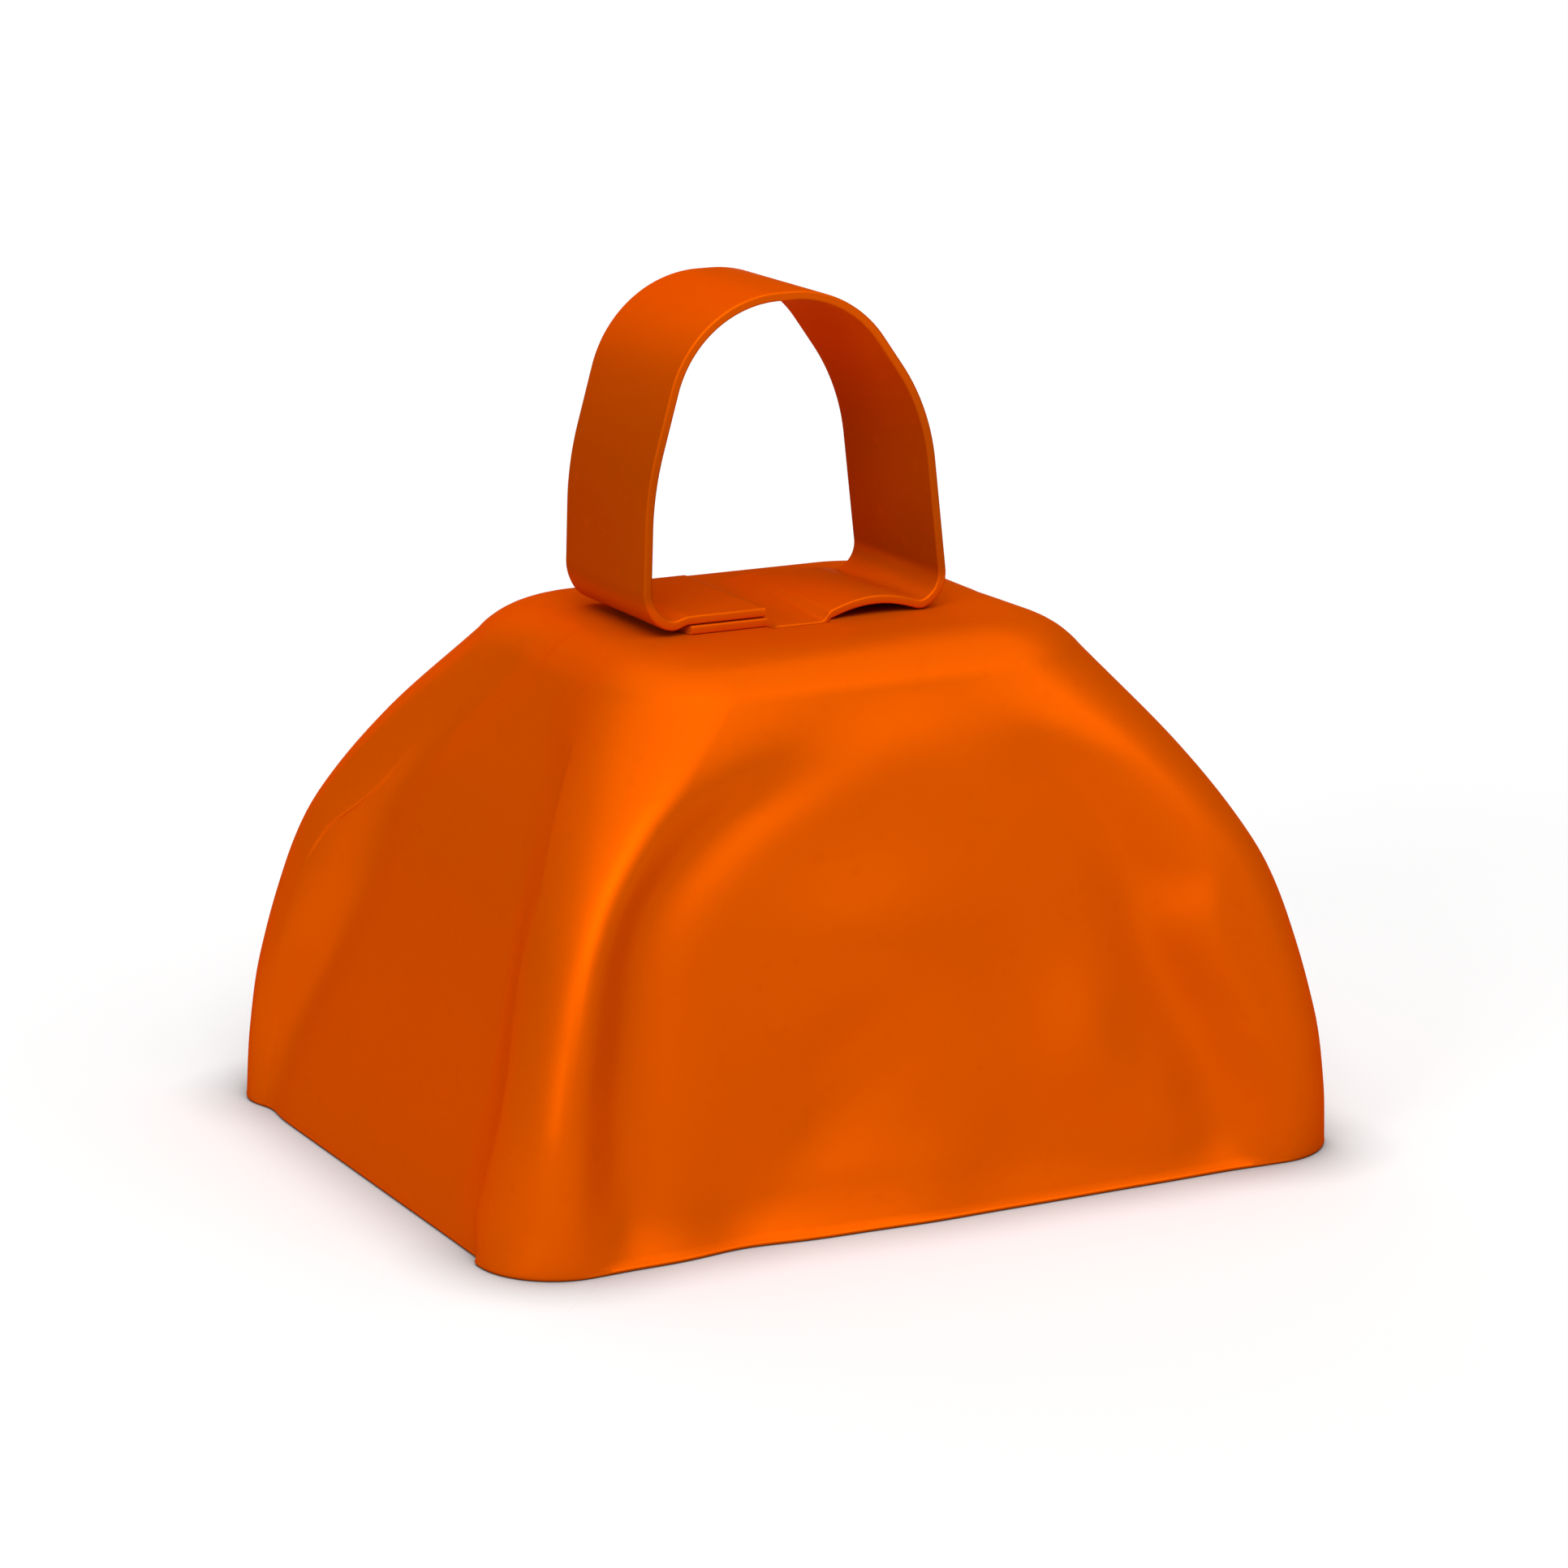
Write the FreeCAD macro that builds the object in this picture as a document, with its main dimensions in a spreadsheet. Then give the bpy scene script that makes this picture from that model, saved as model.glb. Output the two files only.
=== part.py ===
import FreeCAD, Part
import math
import os
import Sketcher

Vector = FreeCAD.Vector

# Driving dimensions of a small pressed-steel cowbell with a strap handle, in millimetres.
# Half lengths run along X, half depths along Y, heights up from the rim.
SIZES = [
    # sheet-metal bell, section by section from the rim to the flat top
    ("rim_half_length", 40.7, "rim, half its long side"),
    ("rim_half_depth", 32.4, "rim, half its short side"),
    ("rim_corner", 7.4, "corner radius at the rim"),
    ("rim_end_bow", 0.6, "how far the end panel bows in at the rim"),
    ("rim_side_bow", 0.3, "how far the broad panel bows in at the rim"),
    ("low_height", 13.0, "height of the low section"),
    ("low_half_length", 38.25, "low section, half its length"),
    ("low_half_depth", 32.35, "low section, half its depth"),
    ("low_corner", 6.4, "corner radius of the low section"),
    ("low_end_bow", 2.3, "end panel recess at the low section"),
    ("low_side_bow", 2.2, "broad panel recess at the low section"),
    ("bend_height", 26.0, "height where the corner ridges bend"),
    ("bend_half_length", 34.5, "bend section, half its length"),
    ("bend_half_depth", 29.9, "bend section, half its depth"),
    ("bend_corner", 5.8, "corner radius at the bend"),
    ("bend_end_bow", 3.4, "end panel recess at the bend"),
    ("bend_side_bow", 3.4, "broad panel recess at the bend"),
    ("high_height", 36.0, "height of the high section"),
    ("high_half_length", 28.9, "high section, half its length"),
    ("high_half_depth", 25.6, "high section, half its depth"),
    ("high_corner", 7.6, "corner radius of the high section"),
    ("high_end_bow", 2.2, "end panel recess at the high section"),
    ("high_side_bow", 2.2, "broad panel recess at the high section"),
    ("bell_height", 47.2, "rim to the flat top"),
    ("top_half_length", 21.2, "flat top before its edge is rounded, half its length"),
    ("top_half_depth", 18.1, "flat top before its edge is rounded, half its depth"),
    ("top_corner", 9.6, "corner radius of the top"),
    ("top_end_bow", 0.4, "end panel recess at the top"),
    ("top_side_bow", 0.4, "broad panel recess at the top"),
    ("shoulder_round", 7.4, "rounding between the panels and the flat top"),
    ("shoulder_turn", 55.0, "angle in degrees that the shoulder rounding turns through"),
    ("wall", 0.8, "sheet thickness of the bell"),
    # strap handle, bent from one flat strip
    ("strap_width", 16.0, "width of the strip, along Y"),
    ("strap_thickness", 0.8, "thickness of the strip"),
    ("strap_seat", 0.02, "paint film between the bell and the strip"),
    ("layer_gap", 0.1, "air between the two overlapping ends"),
    ("loop_rise", 28.6, "bell top to the middle of the strip at the crown"),
    ("loop_left", 16.35, "left leg to the bell's centre line"),
    ("loop_right", 12.6, "right leg to the bell's centre line"),
    ("knee_left_drop", 15.8, "crown to the knee of the left leg"),
    ("knee_left_in", 0.4, "how far the left leg leans in up to its knee"),
    ("knee_left_bend", 28.0, "bend radius at the left knee"),
    ("knee_right_drop", 10.8, "crown to the knee of the right leg"),
    ("knee_right_in", 1.9, "how far the right leg leans in up to its knee"),
    ("knee_right_bend", 18.0, "bend radius at the right knee"),
    ("crown_left", 11.4, "left corner of the crown to the centre line"),
    ("crown_right", 3.1, "right corner of the crown to the centre line"),
    ("crown_bend", 10.4, "bend radius of the crown"),
    ("foot_bend", 2.7, "bend radius where the legs meet the top"),
    ("flap_end", 4.8, "upper end of the strip to the centre line"),
    ("tail_end", 14.0, "lower end of the strip to the centre line"),
    ("hump_start", 1.2, "inner foot of the arched stretch"),
    ("hump_peak", 5.0, "peak of the arched stretch"),
    ("hump_stop", 9.0, "outer foot of the arched stretch"),
    ("hump_rise", 1.5, "height that the arched stretch stands up"),
    ("hump_bend", 2.2, "bend radius at the feet of the arched stretch"),
    ("hump_peak_bend", 4.0, "bend radius at the peak of the arched stretch"),
    # clapper and the wire parts it hangs on
    ("wire", 1.6, "wire diameter"),
    ("weld_gap", 0.02, "weld film between the staple and the bell top"),
    ("play", 0.3, "air between linked wires"),
    ("staple_half_width", 4.5, "staple leg to the centre line"),
    ("staple_foot", 4.0, "length of a staple foot past its leg"),
    ("staple_drop", 5.2, "bell top's underside to the middle of the staple's bar"),
    ("staple_bend", 1.6, "bend radius of the staple"),
    ("link_half_width", 2.8, "link's side to its middle"),
    ("link_length", 8.4, "link, middle of its top bar to middle of its low bar"),
    ("eye_radius", 2.6, "middle radius of the clapper's eye"),
    ("eye_opening", 38.0, "angle in degrees from the rod to the wire's end in the eye"),
    ("neck_bend", 2.0, "bend radius from the eye into the rod"),
    ("ball_height", 12.6, "rim to the middle of the ball"),
    ("ball_radius", 5.6, "radius of the clapper's ball"),
    ("ball_bore_play", 0.02, "air round the rod in the ball"),
    ("ball_bore_depth", 7.0, "how deep the rod goes into the ball"),
]


# sections of the bell below its shoulder, from the rim up
STATIONS = ["rim", "low", "bend", "high"]
# share of the shoulder's turn that is left at each section above them, up to the flat top
SHOULDER_SHARES = {"shoulder_a": 1.0, "shoulder_b": 0.66, "shoulder_c": 0.33, "shoulder_d": 0.0}


def make_sheet(doc):
    sheet = doc.addObject("Spreadsheet::Sheet", "Sizes")
    for row, (alias, number, meaning) in enumerate(SIZES, start=1):
        sheet.set(f"A{row}", meaning)
        sheet.set(f"B{row}", str(number))
        sheet.setAlias(f"B{row}", alias)
    doc.recompute()
    return sheet


class Lengths:
    """Lengths written as sums of names, such as "bell_height - 0.5*wire"."""

    def __init__(self, doc):
        self.sheet = make_sheet(doc)
        self.worked = doc.addObject("App::VarSet", "Worked")

    def work_out(self, name, formula):
        """Keeps a length that follows from the sheet by a formula."""
        self.worked.addProperty("App::PropertyFloat", name)
        self.worked.setExpression(name, formula)
        self.worked.recompute()

    def full_name(self, name):
        return f"Worked.{name}" if hasattr(self.worked, name) else f"Sizes.{name}"

    def terms(self, text):
        sign = 1.0
        for word in text.split():
            if word in "+-":
                sign = 1.0 if word == "+" else -1.0
                continue
            factor, star, name = word.rpartition("*")
            yield sign * float(factor or 1.0), name

    def value(self, name):
        if hasattr(self.worked, name):
            return getattr(self.worked, name)
        return float(self.sheet.get(name))

    def number(self, text):
        return sum(factor * self.value(name) for factor, name in self.terms(text))

    def formula(self, text):
        return " + ".join(f"({factor}) * {self.full_name(name)}" for factor, name in self.terms(text))


def new_body(doc, label):
    body = doc.addObject("PartDesign::Body", label)
    body.Label = label
    return body


def new_sketch(body, name, role, lengths, offset=""):
    plane = [item for item in body.Origin.OriginFeatures if item.Role == role][0]
    sketch = body.newObject("Sketcher::SketchObject", name)
    sketch.AttachmentSupport = [(plane, "")]
    sketch.MapMode = "FlatFace"
    if offset:
        sketch.setExpression("AttachmentOffset.Base.z", lengths.formula(offset))
    return sketch


def drive(sketch, kind, items, lengths, text):
    """Adds one dimension to a sketch and binds it to the sheet."""
    index = sketch.addConstraint(Sketcher.Constraint(kind, *items, lengths.number(text)))
    sketch.setExpression(f"Constraints[{index}]", lengths.formula(text))


def place_point(sketch, item, end, lengths, across, up):
    """Pins a sketch point to the origin by two driven distances, zero ones by the axes."""
    for kind, axis, text in (("DistanceX", -2, across), ("DistanceY", -1, up)):
        if text:
            drive(sketch, kind, (-1, 1, item, end), lengths, text)
        else:
            sketch.addConstraint(Sketcher.Constraint("PointOnObject", item, end, axis))


def arc(centre, radius, start, stop):
    circle = Part.Circle(Vector(centre[0], centre[1], 0), Vector(0, 0, 1), radius)
    return Part.ArcOfCircle(circle, start, stop)


def join_smoothly(sketch, first, first_end, second, second_end):
    sketch.addConstraint(Sketcher.Constraint("Tangent", first, first_end, second, second_end))


# ---- bell ----

def work_out_lean(lengths, lower, station, upper):
    """Wall offset of a section, level, so that the sheet keeps its thickness on the slope."""
    for side in ("length", "depth"):
        fall = f"Sizes.{lower}_half_{side} - Sizes.{upper}_half_{side}"
        climb = f"{lengths.full_name(upper + '_height')} - {lengths.full_name(lower + '_height')}"
        lean = f"atan(({fall}) / ({climb}))"
        outer = f"Sizes.{station}_half_{side}"
        lengths.work_out(f"{station}_inner_{side}", f"{outer} - Sizes.wall / cos({lean})")
    lengths.work_out(f"{station}_inner_corner", f"Sizes.{station}_corner - Sizes.wall")


def work_out_shoulder(lengths, station, share):
    """A section on the rounding between the panels and the top, outside and inside."""
    turn = f"Sizes.shoulder_turn * {share}"
    reach = "Sizes.shoulder_round * tan(Sizes.shoulder_turn / 2)"
    inner_round = "(Sizes.shoulder_round - Sizes.wall)"
    for side in ("length", "depth"):
        middle = f"Sizes.top_half_{side} - {reach}"
        lengths.work_out(f"{station}_half_{side}", f"{middle} + Sizes.shoulder_round * sin({turn})")
        lengths.work_out(f"{station}_inner_{side}", f"{middle} + {inner_round} * sin({turn})")
    base = "Sizes.bell_height - Sizes.shoulder_round"
    lengths.work_out(f"{station}_height", f"{base} + Sizes.shoulder_round * cos({turn})")
    lengths.work_out(f"{station}_inner_height", f"{base} + {inner_round} * cos({turn})")
    corner = f"Sizes.top_corner - {reach}"
    lengths.work_out(f"{station}_corner", f"{corner} + Sizes.shoulder_round * sin({turn})")
    lengths.work_out(f"{station}_inner_corner", f"{corner} + {inner_round} * sin({turn})")


def draw_section(body, name, lengths, height, half_length, half_depth, corner, end_bow, side_bow):
    """A rounded rectangle whose sides bow inwards: four corner arcs and four side arcs."""
    sketch = new_sketch(body, name, "XY_Plane", lengths, height)
    radius = lengths.number(corner)
    across = lengths.number(half_length) - radius
    along = lengths.number(half_depth) - radius
    side_depth = lengths.number(side_bow)
    end_depth = lengths.number(end_bow)
    side_swing = (across ** 2 + side_depth ** 2) / (2 * side_depth)
    end_swing = (along ** 2 + end_depth ** 2) / (2 * end_depth)
    side_angle = math.asin(across / side_swing)
    end_angle = math.asin(along / end_swing)
    quarter = math.pi / 2
    side_centre = along + side_swing - side_depth
    end_centre = across + end_swing - end_depth
    sketch.addGeometry([
        arc((across, along), radius, -end_angle, quarter + side_angle),
        arc((-across, along), radius, quarter - side_angle, 2 * quarter + end_angle),
        arc((-across, -along), radius, 2 * quarter - end_angle, 3 * quarter + side_angle),
        arc((across, -along), radius, 3 * quarter - side_angle, 4 * quarter + end_angle),
        arc((0, side_centre), side_swing - radius, 3 * quarter - side_angle, 3 * quarter + side_angle),
        arc((-end_centre, 0), end_swing - radius, -end_angle, end_angle),
        arc((0, -side_centre), side_swing - radius, quarter - side_angle, quarter + side_angle),
        arc((end_centre, 0), end_swing - radius, 2 * quarter - end_angle, 2 * quarter + end_angle),
    ], False)
    start, end, middle = 1, 2, 3
    for corner_item, next_side in ((0, 4), (1, 5), (2, 6), (3, 7)):
        join_smoothly(sketch, corner_item, end, next_side, end)
        join_smoothly(sketch, next_side, start, (corner_item + 1) % 4, start)
    right = f"{half_length} - {corner}"
    back = f"{half_depth} - {corner}"
    left = opposite(right)
    front = opposite(back)
    for item, (x, y) in enumerate(((right, back), (left, back), (left, front), (right, front))):
        drive(sketch, "Radius", (item,), lengths, corner)
        place_point(sketch, item, middle, lengths, x, y)
    bow_points(sketch, lengths, half_length, half_depth, end_bow, side_bow)
    return sketch


def opposite(text):
    """The same sum of lengths with its signs turned round."""
    return "- " + text.replace(" - ", " ~ ").replace(" + ", " - ").replace(" ~ ", " + ")


def bow_points(sketch, lengths, half_length, half_depth, end_bow, side_bow):
    """Holds the middle of each bowed side at its depth."""
    side = f"{half_depth} - {side_bow}"
    end = f"{half_length} - {end_bow}"
    for item, across, along in ((4, "", side), (5, opposite(end), ""), (6, "", opposite(side)), (7, end, "")):
        x = lengths.number(across) if across else 0.0
        y = lengths.number(along) if along else 0.0
        point = sketch.addGeometry(Part.Point(Vector(x, y, 0)), True)
        place_point(sketch, point, 1, lengths, across, along)
        sketch.addConstraint(Sketcher.Constraint("PointOnObject", point, 1, item))


def loft_through(body, kind, name, sketches):
    loft = body.newObject(kind, name)
    loft.Profile = sketches[0]
    loft.Sections = sketches[1:]
    loft.Ruled = False
    return loft


def make_bell(doc, lengths):
    body = new_body(doc, "bell_body")
    lengths.work_out("rim_height", "0")
    neighbours = [STATIONS[0]] + STATIONS + ["top"]
    lengths.work_out("top_height", "Sizes.bell_height")
    for index, station in enumerate(STATIONS, start=1):
        work_out_lean(lengths, neighbours[index - 1], station, neighbours[index + 1])
    for station, share in SHOULDER_SHARES.items():
        work_out_shoulder(lengths, station, share)
    outside = []
    inside = []
    for station in STATIONS + list(SHOULDER_SHARES):
        bows = station if station in STATIONS else "top"
        inner_height = "inner_height" if station in SHOULDER_SHARES else "height"
        outside.append(draw_section(
            body, f"{station}_outside", lengths, f"{station}_height", f"{station}_half_length",
            f"{station}_half_depth", f"{station}_corner", f"{bows}_end_bow", f"{bows}_side_bow"))
        inside.append(draw_section(
            body, f"{station}_inside", lengths, f"{station}_{inner_height}", f"{station}_inner_length",
            f"{station}_inner_depth", f"{station}_inner_corner", f"{bows}_end_bow", f"{bows}_side_bow"))
    seam = len(STATIONS)
    loft_through(body, "PartDesign::AdditiveLoft", "panels", outside[:seam + 1])
    shell = loft_through(body, "PartDesign::AdditiveLoft", "shoulder", outside[seam:])
    doc.recompute()
    full = shell.Shape.Volume
    loft_through(body, "PartDesign::SubtractiveLoft", "panels_hollow", inside[:seam + 1])
    hollow = loft_through(body, "PartDesign::SubtractiveLoft", "shoulder_hollow", inside[seam:])
    doc.recompute()
    if not hollow.Shape.Volume < 0.2 * full:
        raise RuntimeError("the bell was not hollowed")
    return body


# ---- strips and wires bent along a path ----

def draw_bends(sketch, lengths, corners, bends):
    """A run of lines through the corners, with an arc of the named radius at each inner corner."""
    spots = [Vector(lengths.number(across) if across else 0.0, lengths.number(up), 0) for across, up in corners]
    radii = [lengths.number(bend) for bend in bends]
    starts = [spots[0]]
    stops = []
    arcs = []
    for before, spot, after, radius in zip(spots, spots[1:], spots[2:], radii):
        back = (before - spot).normalize()
        onward = (after - spot).normalize()
        half_angle = back.getAngle(onward) / 2
        reach = radius / math.tan(half_angle)
        centre = spot + (back + onward).normalize() * (radius / math.sin(half_angle))
        stops.append(spot + back * reach)
        starts.append(spot + onward * reach)
        turns_left = back.cross(onward).z < 0
        first = stops[-1] - centre
        last = starts[-1] - centre
        if not turns_left:
            first, last = last, first
        arcs.append((centre, radius, math.atan2(first.y, first.x), math.atan2(last.y, last.x), turns_left))
    stops.append(spots[-1])
    lines = [sketch.addGeometry(Part.LineSegment(a, b), False) for a, b in zip(starts, stops)]
    marks = [sketch.addGeometry(Part.Point(spot), True) for spot in spots]
    for mark, (across, up) in zip(marks, corners):
        place_point(sketch, mark, 1, lengths, across, up)
    for index, (centre, radius, first, last, turns_left) in enumerate(arcs):
        bend = sketch.addGeometry(arc((centre.x, centre.y), radius, first, last), False)
        entry, leave = (1, 2) if turns_left else (2, 1)
        join_smoothly(sketch, lines[index], 2, bend, entry)
        join_smoothly(sketch, lines[index + 1], 1, bend, leave)
        drive(sketch, "Radius", (bend,), lengths, bends[index])
        sketch.addConstraint(Sketcher.Constraint("PointOnObject", marks[index + 1], 1, lines[index]))
        sketch.addConstraint(Sketcher.Constraint("PointOnObject", marks[index + 1], 1, lines[index + 1]))
    sketch.addConstraint(Sketcher.Constraint("Coincident", lines[0], 1, marks[0], 1))
    sketch.addConstraint(Sketcher.Constraint("Coincident", lines[-1], 2, marks[-1], 1))


def draw_rectangle(sketch, lengths, width, height, middle):
    half_width = lengths.number(width) / 2
    low = lengths.number(f"{middle} - 0.5*{height}")
    high = lengths.number(f"{middle} + 0.5*{height}")
    spots = [(-half_width, low), (half_width, low), (half_width, high), (-half_width, high)]
    ends = spots[1:] + spots[:1]
    for (x, y), (next_x, next_y) in zip(spots, ends):
        sketch.addGeometry(Part.LineSegment(Vector(x, y, 0), Vector(next_x, next_y, 0)), False)
    for item in range(4):
        sketch.addConstraint(Sketcher.Constraint("Coincident", item, 2, (item + 1) % 4, 1))
    for item, kind in enumerate(("Horizontal", "Vertical", "Horizontal", "Vertical")):
        sketch.addConstraint(Sketcher.Constraint(kind, item))
    place_point(sketch, 0, 1, lengths, f"- 0.5*{width}", f"{middle} - 0.5*{height}")
    place_point(sketch, 2, 1, lengths, f"0.5*{width}", f"{middle} + 0.5*{height}")


def draw_wire_end(sketch, lengths, across, up):
    x = lengths.number(across) if across else 0.0
    round_wire = Part.Circle(Vector(x, lengths.number(up), 0), Vector(0, 0, 1), lengths.number("0.5*wire"))
    item = sketch.addGeometry(round_wire, False)
    drive(sketch, "Radius", (item,), lengths, "0.5*wire")
    place_point(sketch, item, 3, lengths, across, up)


def sweep(body, name, section, path):
    pipe = body.newObject("PartDesign::AdditivePipe", name)
    pipe.Profile = section
    pipe.Spine = path
    return pipe


def make_strap(doc, lengths):
    body = new_body(doc, "handle_strap")
    lower = "bell_height + strap_seat + 0.5*strap_thickness"
    upper = f"{lower} + layer_gap + strap_thickness"
    crown = "bell_height + loop_rise"
    corners = [
        ("- tail_end", lower),
        ("hump_start", lower),
        ("hump_peak", f"{lower} + hump_rise"),
        ("hump_stop", lower),
        ("loop_right", lower),
        ("loop_right - knee_right_in", f"{crown} - knee_right_drop"),
        ("crown_right", crown),
        ("- crown_left", crown),
        ("- loop_left + knee_left_in", f"{crown} - knee_left_drop"),
        ("- loop_left", upper),
        ("- flap_end", upper),
    ]
    bends = ["hump_bend", "hump_peak_bend", "hump_bend", "foot_bend", "knee_right_bend",
             "crown_bend", "crown_bend", "knee_left_bend", "foot_bend"]
    path = new_sketch(body, "strap_path", "XZ_Plane", lengths)
    draw_bends(path, lengths, corners, bends)
    section = new_sketch(body, "strap_section", "YZ_Plane", lengths, "- tail_end")
    draw_rectangle(section, lengths, "strap_width", "strap_thickness", lower)
    sweep(body, "strap", section, path)
    return body


def make_staple(doc, lengths):
    body = new_body(doc, "clapper_staple")
    seat = "bell_height - wall - weld_gap - 0.5*wire"
    bar = "bell_height - wall - staple_drop"
    corners = [
        ("- staple_half_width - staple_foot", seat),
        ("- staple_half_width", seat),
        ("- staple_half_width", bar),
        ("staple_half_width", bar),
        ("staple_half_width", seat),
        ("staple_half_width + staple_foot", seat),
    ]
    path = new_sketch(body, "staple_path", "XZ_Plane", lengths)
    draw_bends(path, lengths, corners, ["staple_bend"] * 4)
    section = new_sketch(body, "staple_section", "YZ_Plane", lengths, "- staple_half_width - staple_foot")
    draw_wire_end(section, lengths, "", seat)
    sweep(body, "staple", section, path)
    return body


def make_link(doc, lengths):
    """An oval ring that hangs on the staple's bar, in the plane across the bell."""
    body = new_body(doc, "clapper_link")
    top = "bell_height - wall - staple_drop + wire + play"
    high = f"{top} - link_half_width"
    low = f"{top} - link_length + link_half_width"
    path = new_sketch(body, "link_path", "YZ_Plane", lengths)
    half = lengths.number("link_half_width")
    high_z = lengths.number(high)
    low_z = lengths.number(low)
    path.addGeometry([
        arc((0, high_z), half, 0, math.pi),
        Part.LineSegment(Vector(-half, high_z, 0), Vector(-half, low_z, 0)),
        arc((0, low_z), half, math.pi, 2 * math.pi),
        Part.LineSegment(Vector(half, low_z, 0), Vector(half, high_z, 0)),
    ], False)
    join_smoothly(path, 0, 2, 1, 1)
    join_smoothly(path, 1, 2, 2, 1)
    join_smoothly(path, 2, 2, 3, 1)
    join_smoothly(path, 3, 2, 0, 1)
    drive(path, "Radius", (0,), lengths, "link_half_width")
    place_point(path, 0, 3, lengths, "", high)
    drive(path, "DistanceY", (-1, 1, 2, 3), lengths, low)
    section = new_sketch(body, "link_section", "XZ_Plane", lengths)
    draw_wire_end(section, lengths, "", top)
    sweep(body, "link", section, path)
    return body


def make_rod(doc, lengths):
    """One wire: an eye round the link's low bar, and a straight rod down into the ball."""
    body = new_body(doc, "clapper_rod")
    low_bar = "bell_height - wall - staple_drop + wire + play - link_length"
    eye = f"{low_bar} + wire + play - eye_radius"
    rise = "sqrt((Sizes.eye_radius + Sizes.neck_bend) ^ 2 - Sizes.neck_bend ^ 2)"
    lengths.work_out("neck_height", f"{lengths.formula(eye)} - {rise}")
    rod_end = "ball_height + ball_radius - ball_bore_depth"
    path = new_sketch(body, "rod_path", "XZ_Plane", lengths)
    eye_z = lengths.number(eye)
    neck_z = lengths.number("neck_height")
    radius = lengths.number("eye_radius")
    bend = lengths.number("neck_bend")
    opening = math.radians(lengths.number("eye_opening"))
    meeting = math.atan2(neck_z - eye_z, -bend)
    path.addGeometry([
        arc((0, eye_z), radius, opening - math.pi / 2, meeting + 2 * math.pi),
        arc((-bend, neck_z), bend, 0, meeting + math.pi),
        Part.LineSegment(Vector(0, neck_z, 0), Vector(0, lengths.number(rod_end), 0)),
    ], False)
    join_smoothly(path, 0, 2, 1, 2)
    join_smoothly(path, 1, 1, 2, 1)
    drive(path, "Radius", (0,), lengths, "eye_radius")
    drive(path, "Radius", (1,), lengths, "neck_bend")
    place_point(path, 0, 3, lengths, "", eye)
    path.addConstraint(Sketcher.Constraint("Vertical", 2))
    place_point(path, 2, 2, lengths, "", rod_end)
    lengths.work_out("eye_end_across", "Sizes.eye_radius * sin(Sizes.eye_opening)")
    drive(path, "DistanceX", (-1, 1, 0, 1), lengths, "eye_end_across")
    section = new_sketch(body, "rod_section", "XY_Plane", lengths, rod_end)
    draw_wire_end_level(section, lengths)
    sweep(body, "rod", section, path)
    return body


def draw_wire_end_level(sketch, lengths):
    """The rod's round section on the centre line, seen from above."""
    circle = Part.Circle(Vector(0, 0, 0), Vector(0, 0, 1), lengths.number("0.5*wire"))
    item = sketch.addGeometry(circle, False)
    drive(sketch, "Radius", (item,), lengths, "0.5*wire")
    sketch.addConstraint(Sketcher.Constraint("Coincident", item, 3, -1, 1))


def make_ball(doc, lengths):
    """A solid ball with a blind bore from the top for the rod."""
    ball = doc.addObject("Part::Sphere", "ball_round")
    ball.setExpression("Radius", lengths.formula("ball_radius"))
    ball.setExpression("Placement.Base.z", lengths.formula("ball_height"))
    bore = doc.addObject("Part::Cylinder", "ball_bore")
    bore.setExpression("Radius", lengths.formula("0.5*wire + ball_bore_play"))
    bore.setExpression("Height", lengths.formula("ball_bore_depth + ball_bore_play"))
    bottom = "ball_height + ball_radius - ball_bore_depth - ball_bore_play"
    bore.setExpression("Placement.Base.z", lengths.formula(bottom))
    cut = doc.addObject("Part::Cut", "clapper_ball")
    cut.Base = ball
    cut.Tool = bore
    cut.Label = "clapper_ball"
    return cut


def check(doc, parts):
    for item in doc.Objects:
        if "Invalid" in item.State or "Error" in item.State:
            raise RuntimeError(f"{item.Name} failed: {item.State}")
    for part in parts:
        if part.Shape.isNull() or not part.Shape.isValid():
            raise RuntimeError(f"{part.Label} has no valid shape")
        if len(part.Shape.Solids) != 1:
            raise RuntimeError(f"{part.Label} is not one solid")


def main():
    doc = FreeCAD.newDocument("cowbell")
    lengths = Lengths(doc)
    makers = (make_bell, make_strap, make_staple, make_link, make_rod, make_ball)
    parts = [maker(doc, lengths) for maker in makers]
    doc.recompute()
    check(doc, parts)
    os.makedirs("parts", exist_ok=True)
    for part in parts:
        part.Shape.exportStep(f"parts/{part.Label}.step")
        print(part.Label, round(part.Shape.Volume, 1), "mm3")


main()
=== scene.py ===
import math
import bpy
import bmesh
from mathutils import Vector, Matrix


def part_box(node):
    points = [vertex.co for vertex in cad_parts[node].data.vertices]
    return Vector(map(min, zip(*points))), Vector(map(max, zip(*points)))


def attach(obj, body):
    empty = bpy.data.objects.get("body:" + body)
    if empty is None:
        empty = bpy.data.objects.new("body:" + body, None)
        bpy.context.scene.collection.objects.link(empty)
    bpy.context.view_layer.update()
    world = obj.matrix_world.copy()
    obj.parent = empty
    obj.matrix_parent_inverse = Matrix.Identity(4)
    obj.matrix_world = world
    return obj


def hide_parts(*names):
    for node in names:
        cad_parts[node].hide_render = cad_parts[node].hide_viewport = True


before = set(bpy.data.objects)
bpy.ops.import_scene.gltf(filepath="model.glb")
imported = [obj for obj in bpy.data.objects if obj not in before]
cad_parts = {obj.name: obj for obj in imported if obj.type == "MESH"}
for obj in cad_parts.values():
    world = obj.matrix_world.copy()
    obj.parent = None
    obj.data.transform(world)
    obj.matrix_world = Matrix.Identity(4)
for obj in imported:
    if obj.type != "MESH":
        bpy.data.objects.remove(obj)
print("stage: frame loaded")
mm = 0.001  # sizes below are in millimetres, meshes in metres
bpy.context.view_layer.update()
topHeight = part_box("bell_body")[1][2] / mm  # the flat top of the bell
stripLow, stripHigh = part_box("handle_strap")
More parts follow.
